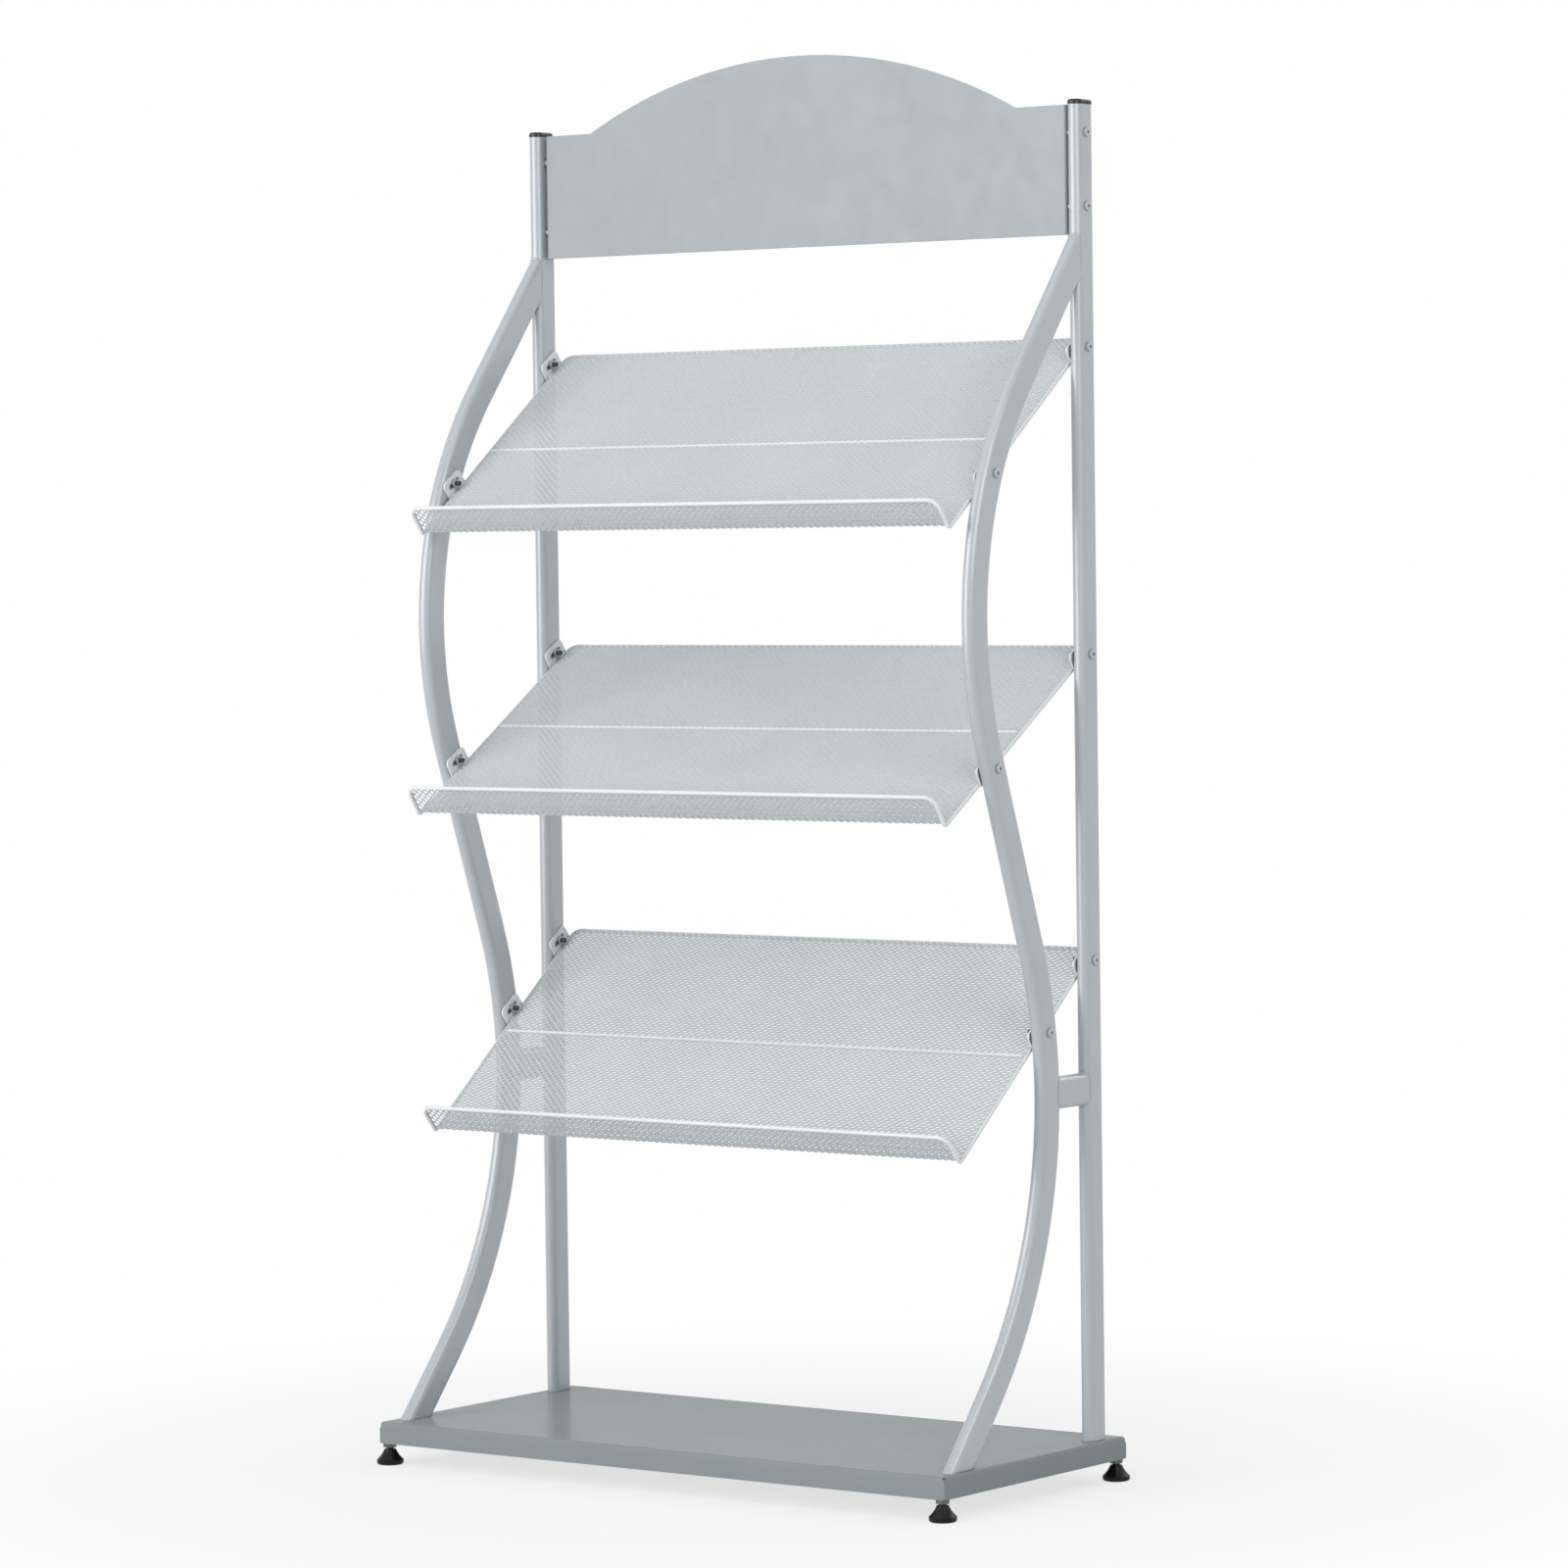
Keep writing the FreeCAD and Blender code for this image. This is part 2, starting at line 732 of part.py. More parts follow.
def tab(side, hole_y):
    """A slotted tab on the outside of the rim wire, its slot centred on a screw."""
    inner_x = wire_x + wire_radius
    low = V(inner_x, hole_y - tab_length / 2, -tab_foot)
    plate = box(low, V(inner_x + tab_thickness, hole_y + tab_length / 2, tab_height))
    corners = [edge for edge in plate.Edges
               if edge.BoundBox.XLength > tab_thickness / 2 and edge.BoundBox.ZMin > tab_height / 2]
    plate = plate.makeFillet(tab_corner, corners)
    start = V(inner_x, hole_y, tab_hole_height)
    half = Y_AXIS * (slot_length / 2 - screw_hole_radius)
    ends = [cylinder(screw_hole_radius, tab_thickness, start + offset, X_AXIS) for offset in (half, -half)]
    middle_low = start - half - Z_AXIS * screw_hole_radius
    middle = box(middle_low, start + half + V(tab_thickness, 0, screw_hole_radius))
    plate = plate.cut(ends + [middle])
    return on_side(plate, side)


def save_shelf(name):
    """Write every node of one shelf."""
    rim = rim_wire()
    front_tab_y = rear_hole_from_bend - (rear_hole(name) - front_hole(name)).Length
    save(f"{name}_shelf_mesh", shelf_placed([mesh_sheet()], name))
    save(f"{name}_shelf_rim_wire", shelf_placed([rim], name))
    save(f"{name}_shelf_cross_wire", shelf_placed([cross_wire(rim, SHELVES[name]["cross_wire"])], name))
    for side_name, side in SIDES.items():
        for end_name, hole_y in (("front", front_tab_y), ("rear", rear_hole_from_bend)):
            save(f"{name}_shelf_tab_{end_name}_{side_name}", shelf_placed([tab(side, hole_y)], name))
    save(f"{name}_shelf_screws", shelf_screws(name))
    save(f"{name}_shelf_nuts", shelf_nuts(name))


def save_side(side_name, side):
    """Write the tubes of one side."""
    save(f"rear_post_{side_name}", on_side(rear_post(), side))
    save(f"curved_tube_{side_name}", on_side(curved_tube(), side))
    save(f"side_strut_{side_name}", on_side(side_strut(), side))
    save(f"post_cap_{side_name}", on_side(post_cap(), side))
    save(f"tube_foot_plugs_{side_name}", tube_foot_plugs(side))


def save_feet():
    """Write the four feet, their plates and their lock nuts."""
    corners = []
    for end_name, end in ENDS.items():
        for side_name, side in SIDES.items():
            save(f"foot_pad_{end_name}_{side_name}", placed_foot(foot_pad(), side, end))
            save(f"foot_stud_{end_name}_{side_name}", placed_foot(foot_stud(), side, end))
            corners.append((side, end))
    save("foot_plates", [foot_plate(*corner) for corner in corners])
    save("foot_lock_nuts", [lock_nut(*corner) for corner in corners])


def save_base():
    """Write the tray and what bolts the tubes to it."""
    save("base_tray", base_tray())
    save("base_bolts", both_sides([base_bolt(foot) for foot in tube_feet()]))
    save("base_washers", both_sides([base_washer(foot) for foot in tube_feet()]))


def save_header():
    """Write the header and its fasteners."""
    save("header_panel", header_panel())
    save("header_screws", header_screws())
    save("header_washers", header_washers())
    save("header_nuts", header_nuts())


os.makedirs("parts", exist_ok=True)
save_base()
save_feet()
for side_name, side in SIDES.items():
    save_side(side_name, side)
save_header()
for shelf_name in SHELVES:
    save_shelf(shelf_name)
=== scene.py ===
import json
import math

import bpy
from mathutils import Matrix, Vector
from mathutils.bvhtree import BVHTree


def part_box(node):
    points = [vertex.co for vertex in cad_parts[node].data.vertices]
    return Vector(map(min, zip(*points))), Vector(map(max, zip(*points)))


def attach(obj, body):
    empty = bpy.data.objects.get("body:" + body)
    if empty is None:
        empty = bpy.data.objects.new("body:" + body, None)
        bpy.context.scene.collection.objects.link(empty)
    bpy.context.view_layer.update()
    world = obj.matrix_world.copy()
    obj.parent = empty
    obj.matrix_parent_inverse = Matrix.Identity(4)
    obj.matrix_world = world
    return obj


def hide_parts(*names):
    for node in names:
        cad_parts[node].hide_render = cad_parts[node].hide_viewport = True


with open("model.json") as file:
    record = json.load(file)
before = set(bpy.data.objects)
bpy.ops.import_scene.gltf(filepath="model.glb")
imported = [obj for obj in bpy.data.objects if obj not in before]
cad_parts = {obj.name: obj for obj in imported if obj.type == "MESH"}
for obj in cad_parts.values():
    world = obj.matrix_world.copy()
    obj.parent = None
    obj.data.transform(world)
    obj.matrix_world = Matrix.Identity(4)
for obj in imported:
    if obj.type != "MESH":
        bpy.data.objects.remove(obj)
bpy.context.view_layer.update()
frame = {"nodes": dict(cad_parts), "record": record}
NODES = frame["nodes"]
SLOTS = {part["node"]: part["material_slot"] for part in frame["record"]["subparts"]}

# Sizes of the part in metres
POST_X = 0.3465
POST_Y = 0.122
TUBE_SECTION = 0.033
TUBE_THICKNESS = 0.015
FRONT_KNEE_Y = -0.1225
FRONT_KNEE_Z = 0.950
JOIN_Z = 1.255
STRUT_Z = 0.4025
BASE_TOP = 0.0445
BASE_BOTTOM = 0.022
BASE_HALF_X = 0.360
BASE_HALF_Y = 0.161

SHELF_SLOPES = {"top": 37.4, "middle": 33.1, "bottom": 39.2}
SHELF_HOLES = {"top": 1.150, "middle": 0.841, "bottom": 0.532}
SHELF_DEPTH = 0.311
SHELF_HALF_WIDTH = 0.335
LIP_HEIGHT = 0.035
HOLE_FROM_BEND = 0.285
HOLE_ABOVE_WIRE = 0.0095
WIRE_RADIUS = 0.002
LIP_CORNER = 0.012
BACK_CORNER = 0.009


# Materials

def new_material(name):
    """A material with its Principled shader and a coordinate node in metres."""
    material = bpy.data.materials.new(name)
    material.use_nodes = True
    tree = material.node_tree
    shader = tree.nodes["Principled BSDF"]
    coords = tree.nodes.new("ShaderNodeTexCoord")
    return material, tree, shader, coords


def noise(tree, coords, scale, detail=2.0, roughness=0.5):
    """The value of a noise texture over the object's own coordinates, in repeats a metre."""
    node = tree.nodes.new("ShaderNodeTexNoise")
    node.inputs["Scale"].default_value = scale
    node.inputs["Detail"].default_value = detail
    node.inputs["Roughness"].default_value = roughness
    tree.links.new(coords.outputs["Object"], node.inputs["Vector"])
    return node.outputs["Fac"]


def remap(tree, value, low, high, start=0.3, end=0.7):
    """A value from a texture spread between two limits."""
    node = tree.nodes.new("ShaderNodeMapRange")
    node.inputs["From Min"].default_value = start
    node.inputs["From Max"].default_value = end
    node.inputs["To Min"].default_value = low
    node.inputs["To Max"].default_value = high
    tree.links.new(value, node.inputs["Value"])
    return node.outputs["Result"]


def blend_colours(tree, factor, first, second):
    """A mix of two colours by a factor socket."""
    node = tree.nodes.new("ShaderNodeMix")
    node.data_type = "RGBA"
    tree.links.new(factor, node.inputs["Factor"])
    node.inputs["A"].default_value = (*first, 1)
    node.inputs["B"].default_value = (*second, 1)
    return node.outputs["Result"]


def shaded(colour, share):
    """A colour made lighter or darker."""
    return tuple(channel * share for channel in colour)


def multiplied(tree, first, second):
    """The product of two sockets as a colour."""
    node = tree.nodes.new("ShaderNodeMix")
    node.data_type = "RGBA"
    node.blend_type = "MULTIPLY"
    node.inputs["Factor"].default_value = 1.0
    tree.links.new(first, node.inputs["A"])
    tree.links.new(second, node.inputs["B"])
    return node.outputs["Result"]


def calculated(tree, operation, first, second):
    """The result of a Math node on two sockets."""
    node = tree.nodes.new("ShaderNodeMath")
    node.operation = operation
    tree.links.new(first, node.inputs[0])
    tree.links.new(second, node.inputs[1])
    return node.outputs["Value"]


def painted_crevice_shade(tree, colour, reach, darkest):
    """Painted shade: the colour darkened where surfaces close in within a reach."""
    occlusion = tree.nodes.new("ShaderNodeAmbientOcclusion")
    occlusion.samples = 6
    occlusion.inputs["Distance"].default_value = reach
    shade = remap(tree, occlusion.outputs["AO"], darkest, 1.0, start=0.12, end=0.8)
    return multiplied(tree, colour, shade)


def add_bump(tree, shader, layers):
    """Bumps from (height socket, depth in metres) layers, one after another."""
    normal = None
    for height, depth in layers:
        bump = tree.nodes.new("ShaderNodeBump")
        bump.inputs["Strength"].default_value = 1.0
        bump.inputs["Distance"].default_value = depth
        tree.links.new(height, bump.inputs["Height"])
        if normal is not None:
            tree.links.new(normal, bump.inputs["Normal"])
        normal = bump.outputs["Normal"]
    tree.links.new(normal, shader.inputs["Normal"])


CLOUDING = 0.03
FLAKE_CONTRAST = 0.05


def powder_coat(name, colour, rough, metallic=0.0, coat=0.0, peel=0.00002, reach=0.004, darkest=0.45,
                specular=0.5):
    """Baked powder paint: faint clouding, fine flakes, painted shade where surfaces close in, and an
    orange-peel surface.
    """
    material, tree, shader, coords = new_material(name)
    clouds = noise(tree, coords, scale=9.0, detail=3.0)
    flakes = noise(tree, coords, scale=2600.0, detail=1.0)
    tone = blend_colours(tree, remap(tree, clouds, 0, 1),
                         shaded(colour, 1 - CLOUDING), shaded(colour, 1 + CLOUDING))
    grain = blend_colours(tree, remap(tree, flakes, 0, 1, start=0.35, end=0.65),
                          (1 - FLAKE_CONTRAST,) * 3, (1 + FLAKE_CONTRAST,) * 3)
    # Painted shade darkens the paint where surfaces close in.
    paint_with_painted_shade = painted_crevice_shade(tree, multiplied(tree, tone, grain), reach, darkest)
    tree.links.new(paint_with_painted_shade, shader.inputs["Base Color"])
    patches = noise(tree, coords, scale=38.0, detail=4.0, roughness=0.6)
    uneven = remap(tree, patches, low=rough * 0.88, high=rough * 1.14)
    tree.links.new(uneven, shader.inputs["Roughness"])
    orange_peel = noise(tree, coords, scale=420.0)
    grit = noise(tree, coords, scale=1500.0)
    add_bump(tree, shader, [(orange_peel, peel), (grit, peel * 0.3)])
    shader.inputs["Metallic"].default_value = metallic
    shader.inputs["Coat Weight"].default_value = coat
    shader.inputs["Coat Roughness"].default_value = 0.12
    shader.inputs["Specular IOR Level"].default_value = specular
    return material


def zinc_plate(name, dark, light):
    """Zinc plating with a faint passivation tint, painted shade where surfaces close in, and fine tool marks.
    """
    material, tree, shader, coords = new_material(name)
    tint = noise(tree, coords, scale=120.0, detail=3.0)
    colour = blend_colours(tree, remap(tree, tint, 0, 1), dark, light)
    # Painted shade darkens the plating where surfaces close in.
    tree.links.new(painted_crevice_shade(tree, colour, reach=0.003, darkest=0.3), shader.inputs["Base Color"])
    marks = noise(tree, coords, scale=900.0, detail=3.0)
    tree.links.new(remap(tree, marks, low=0.26, high=0.44), shader.inputs["Roughness"])
    add_bump(tree, shader, [(marks, 0.000012)])
    shader.inputs["Metallic"].default_value = 0.95
    return material


def moulded_plastic(name, colour, rough, specular):
    """Black moulded plastic with a fine spark-eroded grain and a few scuffs."""
    material, tree, shader, coords = new_material(name)
    scuffs = noise(tree, coords, scale=160.0, detail=4.0, roughness=0.65)
    tone = blend_colours(tree, remap(tree, scuffs, 0, 1, start=0.5, end=0.75), colour, shaded(colour, 2.2))
    tree.links.new(tone, shader.inputs["Base Color"])
    tree.links.new(remap(tree, scuffs, low=rough * 0.85, high=rough * 1.3), shader.inputs["Roughness"])
    grain = noise(tree, coords, scale=1800.0)
    add_bump(tree, shader, [(grain, 0.00003)])
    shader.inputs["Specular IOR Level"].default_value = specular
    return material


SILVER = (0.50, 0.535, 0.56)
HEADER_SILVER = (0.335, 0.368, 0.392)
BASE_GREY = (0.31, 0.345, 0.355)
MESH_PALE = (0.635, 0.668, 0.683)
WIRE_PALE = (0.86, 0.885, 0.89)
FOOT_BLACK = (0.006, 0.006, 0.007)
CAP_BLACK = (0.010, 0.010, 0.011)
# Bare steel, darkened almost to black as painted shade.
BARE_STEEL_IN_PAINTED_SHADE = (0.035, 0.036, 0.038)

# Each paint's reach and darkest set its painted shade where surfaces close in; the screws' recesses are
# painted almost black.
MATERIALS = {
    "tube_silver": powder_coat("tube_silver_paint", SILVER, rough=0.33, metallic=0.2, coat=0.25,
                               darkest=0.22),
    "header_silver": powder_coat("header_silver_paint", HEADER_SILVER, rough=0.42, metallic=0.1, coat=0.1),
    "base_grey": powder_coat("base_grey_paint", BASE_GREY, rough=0.2, peel=0.000012, reach=0.006,
                             darkest=0.25, specular=0.012),
    "mesh_white": powder_coat("mesh_pale_paint", MESH_PALE, rough=0.45, coat=0.1, darkest=0.8),
    "wire_white": powder_coat("wire_pale_paint", WIRE_PALE, rough=0.3, coat=0.3),
    "screw_silver": powder_coat("screw_silver_paint", SILVER, rough=0.34, metallic=0.2, coat=0.2,
                                reach=0.0022, darkest=0.03),
    "zinc_steel": zinc_plate("zinc_plated_steel", (0.42, 0.44, 0.44), (0.58, 0.58, 0.53)),
    "foot_black": moulded_plastic("foot_black_plastic", FOOT_BLACK, rough=0.3, specular=0.2),
    "cap_black": moulded_plastic("cap_black_plastic", CAP_BLACK, rough=0.17, specular=0.5),
}
# A darkened copy of the zinc plating: painted shade for the foot nuts and studs under the tray.
ZINC_IN_PAINTED_SHADE = zinc_plate("zinc_steel_in_painted_shade", (0.10, 0.105, 0.105), (0.17, 0.165, 0.145))


def bare_shanks_in_painted_shade(material):
    """Leaves the screws unpainted where they are inside the tubes or come out on their inner faces, with that
    bare steel painted almost black as painted shade.
    """
    tree = material.node_tree
    colour = tree.nodes["Principled BSDF"].inputs["Base Color"]
    paint = colour.links[0].from_socket
    coords = tree.nodes.new("ShaderNodeTexCoord")
    place = tree.nodes.new("ShaderNodeSeparateXYZ")
    tree.links.new(coords.outputs["Object"], place.inputs["Vector"])
    outward = tree.nodes.new("ShaderNodeMath")
    outward.operation = "ABSOLUTE"
    tree.links.new(place.outputs["X"], outward.inputs[0])
    painted = tree.nodes.new("ShaderNodeMath")
    painted.operation = "GREATER_THAN"
    painted.inputs[1].default_value = POST_X
    tree.links.new(outward.outputs["Value"], painted.inputs[0])
    mix = tree.nodes.new("ShaderNodeMix")
    mix.data_type = "RGBA"
    mix.inputs["A"].default_value = (*BARE_STEEL_IN_PAINTED_SHADE, 1)
    tree.links.new(painted.outputs["Value"], mix.inputs["Factor"])
    tree.links.new(paint, mix.inputs["B"])
    tree.links.new(mix.outputs["Result"], colour)


bare_shanks_in_painted_shade(MATERIALS["screw_silver"])


def dress(obj, material):
    """Give an object its material."""
    obj.data.materials.clear()
    obj.data.materials.append(material)


for node_name, node in NODES.items():
    dress(node, MATERIALS[SLOTS[node_name]])
# The foot nuts take the zinc with painted shade.
dress(NODES["foot_lock_nuts"], ZINC_IN_PAINTED_SHADE)


def add_piece(name, vertices, faces, slot, body="rack", smooth=False):
    """A new mesh piece that rides on a body."""
    mesh = bpy.data.meshes.new(name)
    mesh.from_pydata([tuple(v) for v in vertices], [], faces)
    mesh.update()
    obj = bpy.data.objects.new(name, mesh)
    bpy.context.scene.collection.objects.link(obj)
    mesh.polygons.foreach_set("use_smooth", [smooth] * len(mesh.polygons))
    dress(obj, MATERIALS[slot])
    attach(obj, body)
    return obj


# Expanded-metal shelves. The grid is drawn flat and folded once along the bend.

HALF_COLUMNS = 160
LIP_HALF_ROWS = 10
SLOPE_HALF_ROWS = 90
LAST_ROW = LIP_HALF_ROWS + SLOPE_HALF_ROWS
HALF_COLUMN_WIDTH = 2 * SHELF_HALF_WIDTH / HALF_COLUMNS
STRAND_HALF_WIDTH = 0.00085
STRAND_TILT = 0.00075
SHEET_HALF = 0.0004
SHEET_MIDDLE = 0.0016
BEND_MIDDLE = 0.0019
SELVEDGE = 0.0012
ON_THE_BEND = 1e-9


def mesh_grid_point(i, j):
    """(x, distance along the sheet from the bend) of a grid point: the lip is negative."""
    x = -SHELF_HALF_WIDTH + 2 * SHELF_HALF_WIDTH * i / HALF_COLUMNS
    if j <= LIP_HALF_ROWS:
        along = -(LIP_HEIGHT - BEND_MIDDLE) * (LIP_HALF_ROWS - j) / LIP_HALF_ROWS
    else:
        along = (SHELF_DEPTH - BEND_MIDDLE) * (j - LIP_HALF_ROWS) / SLOPE_HALF_ROWS
    return x, along


def inside_corners(x, along, margin):
    """The point moved inside the sheet's rounded corners."""
    top = SHELF_DEPTH - BEND_MIDDLE
    low = -(LIP_HEIGHT - BEND_MIDDLE)
    for radius, edge, sign in ((BACK_CORNER, top, 1), (LIP_CORNER, low, -1)):
        from_side = abs(x) - (SHELF_HALF_WIDTH - radius)
        from_edge = sign * (along - (edge - sign * radius))
        if from_side > 0 and from_edge > 0:
            reach = math.hypot(from_side, from_edge)
            limit = radius - margin
            if reach > limit:
                from_side *= limit / reach
                from_edge *= limit / reach
                x = math.copysign(SHELF_HALF_WIDTH - radius + from_side, x)
                along = edge - sign * radius + sign * from_edge
    return x, along


def folded(x, along, height):
    """A point of the flat sheet in the shelf's own frame, height being square to the sheet."""
    if abs(along) < ON_THE_BEND:
        offset = height * math.sqrt(0.5)
        return x, BEND_MIDDLE + offset, BEND_MIDDLE + offset
    if along > 0:
        return x, BEND_MIDDLE + along, SHEET_MIDDLE + height
    return x, SHEET_MIDDLE + height, BEND_MIDDLE - along


def cell_outline(i, j):
    """Steps from a cell's middle to its corners: half a cell at the sheet's edges, a quarter at corners."""
    corners = [(-1, 0), (0, 1), (1, 0), (0, -1)]
    inside = [0 <= i + di <= HALF_COLUMNS and 0 <= j + dj <= LAST_ROW for di, dj in corners]
    kept = []
    for corner, there in zip(corners, inside):
        if there:
            kept.append(corner)
        elif sum(inside) == 2 and (0, 0) not in kept:
            kept.append((0, 0))
    return kept


def hole_outline(i, j, steps):
    """Corners of a cell's hole as (x, distance along, tilt), drawn in from the strands' middle lines."""
    cx, cy = mesh_grid_point(i, j)
    at_side = i in (0, HALF_COLUMNS)
    at_end = j in (0, LAST_ROW)
    ring = []
    for di, dj in steps:
        px, py = mesh_grid_point(i + di, j + dj)
        step_y = abs(py - cy) if dj else abs(mesh_grid_point(i, j - 1 if j else j + 1)[1] - cy)
        inset = STRAND_HALF_WIDTH * math.hypot(HALF_COLUMN_WIDTH, step_y) / (HALF_COLUMN_WIDTH * step_y)
        hx = cx + (px - cx) * (1 - inset)
        hy = cy + (py - cy) * (1 - inset)
        if at_side and di == 0:
            hx = cx - math.copysign(SELVEDGE, cx)
            hy = cy + (hy - cy) * (1 - SELVEDGE / (HALF_COLUMN_WIDTH * (1 - inset)))
        if at_end and dj == 0:
            hy = cy + (SELVEDGE if j == 0 else -SELVEDGE)
            if di:
                hx = cx + (hx - cx) * (1 - SELVEDGE / (step_y * (1 - inset)))
        tilt = 0 if at_side or j == LIP_HALF_ROWS else -dj * STRAND_TILT
        ring.append((hx, hy, tilt))
    return ring


def expanded_mesh():
    """Vertices and faces of one shelf's sheet in its own frame."""
    vertices, faces = [], []
    shared = {}

    def vertex(x, along, height, margin):
        x, along = inside_corners(x, along, margin)
        vertices.append(folded(x, along, height))
        return len(vertices) - 1

    def bond(i, j, side):
        if (i, j, side) not in shared:
            x, along = mesh_grid_point(i, j)
            shared[i, j, side] = vertex(x, along, side * SHEET_HALF, 0.0)
        return shared[i, j, side]

    for j in range(LAST_ROW + 1):
        for i in range((j + 1) % 2, HALF_COLUMNS + 1, 2):
            steps = cell_outline(i, j)
            ring = hole_outline(i, j, steps)
            top = [bond(i + di, j + dj, 1) for di, dj in steps]
            low = [bond(i + di, j + dj, -1) for di, dj in steps]
            hole_top = [vertex(x, y, SHEET_HALF + tilt, SELVEDGE) for x, y, tilt in ring]
            hole_low = [vertex(x, y, tilt - SHEET_HALF, SELVEDGE) for x, y, tilt in ring]
            for k in range(len(steps)):
                n = (k + 1) % len(steps)
                faces.append((top[k], hole_top[k], hole_top[n], top[n]))
                faces.append((low[n], hole_low[n], hole_low[k], low[k]))
                faces.append((hole_top[k], hole_low[k], hole_low[n], hole_top[n]))
    rim = [(0, j) for j in range(LAST_ROW + 1)]
    rim += [(i, LAST_ROW) for i in range(1, HALF_COLUMNS + 1)]
    rim += [(HALF_COLUMNS, j) for j in range(LAST_ROW - 1, -1, -1)]
    rim += [(i, 0) for i in range(HALF_COLUMNS - 1, 0, -1)]
    rim = [point for point in rim if (*point, 1) in shared]
    for here, ahead in zip(rim, rim[1:] + rim[:1]):
        faces.append((shared[*here, 1], shared[*ahead, 1], shared[*ahead, -1], shared[*here, -1]))
    return vertices, faces


def shelf_matrix(name):
    """Places a shelf that was drawn flat: X across, Y up the slope from the bend."""
    turn = Matrix.Rotation(math.radians(SHELF_SLOPES[name]), 4, "X")
    hole = turn @ Vector((0, HOLE_FROM_BEND, HOLE_ABOVE_WIRE))
    return Matrix.Translation(Vector((0, POST_Y, SHELF_HOLES[name])) - hole) @ turn


flat_vertices, flat_faces = expanded_mesh()
for shelf in SHELF_SLOPES:
    matrix = shelf_matrix(shelf)
    placed = [matrix @ Vector(v) for v in flat_vertices]
    sheet = add_piece(f"{shelf}_shelf_expanded_metal", placed, flat_faces, "mesh_white")
    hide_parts(f"{shelf}_shelf_mesh")


# Round bars drawn through points: the cross wires and the weld beads

def ringed(points, radii, segments, closed):
    """Vertices and faces of a round bar through points, with a radius at each point, or a closed ring."""
    count = len(points)
    vertices, faces = [], []
    for k, (point, radius) in enumerate(zip(points, radii)):
        before = points[k - 1] if closed or k else point
        after = points[(k + 1) % count] if closed or k < count - 1 else point
        along = (after - before).normalized()
        side = along.orthogonal().normalized() if k == 0 else (side - along * side.dot(along)).normalized()
        up = along.cross(side)
        for s in range(segments):
            angle = 2 * math.pi * s / segments
            vertices.append(point + (side * math.cos(angle) + up * math.sin(angle)) * radius)
    for k in range(count if closed else count - 1):
        here, ahead = k * segments, (k + 1) % count * segments
        shift = 0
        if closed and k == count - 1:
            shift = min(range(segments), key=lambda s: (vertices[s] - vertices[here]).length)
        for s in range(segments):
            n = (s + 1) % segments
            faces.append((here + s, here + n, ahead + (n + shift) % segments, ahead + (s + shift) % segments))
    if not closed:
        faces.append(tuple(range(segments))[::-1])
        faces.append(tuple(range((count - 1) * segments, count * segments)))
    return vertices, faces


def joined(shapes):
    """One list of vertices and one of faces from several shapes."""
    vertices, faces = [], []
    for more_vertices, more_faces in shapes:
        faces += [tuple(index + len(vertices) for index in face) for face in more_faces]
        vertices += more_vertices
    return vertices, faces


CROSS_WIRES = {"top": 0.143, "middle": 0.159, "bottom": 0.152}
CROSS_WIRE_RAISE = 0.0014
CROSS_WIRE_DROP = 0.008
CROSS_WIRE_STEPS = 3 * HALF_COLUMNS
CROSS_WIRE_SEGMENTS = 10
CROSS_WIRE_SHARE = 0.92
NUGGET_SHARE = 0.3
NUGGET_PITCH = 2 * HALF_COLUMN_WIDTH


def cross_wire_shape():
    """A wire pressed into the mesh, with a weld nugget at each strand and its ends bent down to the rim."""
    points, radii = [], []
    for k in range(CROSS_WIRE_STEPS + 1):
        x = SHELF_HALF_WIDTH * (2 * k / CROSS_WIRE_STEPS - 1)
        share = min(1.0, (SHELF_HALF_WIDTH - abs(x)) / CROSS_WIRE_DROP)
        rise = CROSS_WIRE_RAISE * share * share * (3 - 2 * share)
        nugget = max(0.0, math.cos(2 * math.pi * x / NUGGET_PITCH)) ** 4
        points.append(Vector((x, 0, rise)))
        radii.append(WIRE_RADIUS * (CROSS_WIRE_SHARE + NUGGET_SHARE * nugget))
    return ringed(points, radii, CROSS_WIRE_SEGMENTS, False)


wire_vertices, wire_faces = cross_wire_shape()
for shelf in SHELF_SLOPES:
    matrix = shelf_matrix(shelf) @ Matrix.Translation((0, CROSS_WIRES[shelf], 0))
    wire = add_piece(f"{shelf}_shelf_welded_cross_wire", [matrix @ v for v in wire_vertices], wire_faces,
                     "wire_white", smooth=True)
    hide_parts(f"{shelf}_shelf_cross_wire")


# Weld beads. A ripple is its (share of the radius, pace along the bead).

BEAD_RADIUS = 0.0013
BEAD_RIPPLE = (0.1, 2.1)
BEAD_SEGMENTS = 8
BEAD_INSIDE = 0.97
HALF_ROUND_STEPS = 24
FLAT_STEPS = 8
JOIN_RUN_UP = 0.06

TAB_BEAD_LENGTH = 0.009
TAB_BEAD_OFFSET = 0.009
TAB_BEAD_RADIUS = 0.0009
TAB_BEAD_RIPPLE = (0.12, 2.4)
TAB_BEAD_STEPS = 12
TAB_BEAD_SIDE = 0.0015
TAB_BEAD_HEIGHT = 0.0016
BLUNT_END = 0.02


def rippled(radius, ripple, k):
    """The radius of a bead at its k-th point."""
    share, pace = ripple
    return radius * (1 + share * math.sin(pace * k))


def surface_of(node):
    """A node's surface for finding where a line meets it."""
    mesh = NODES[node].data
    return BVHTree.FromPolygons([v.co for v in mesh.vertices], [p.vertices[:] for p in mesh.polygons])


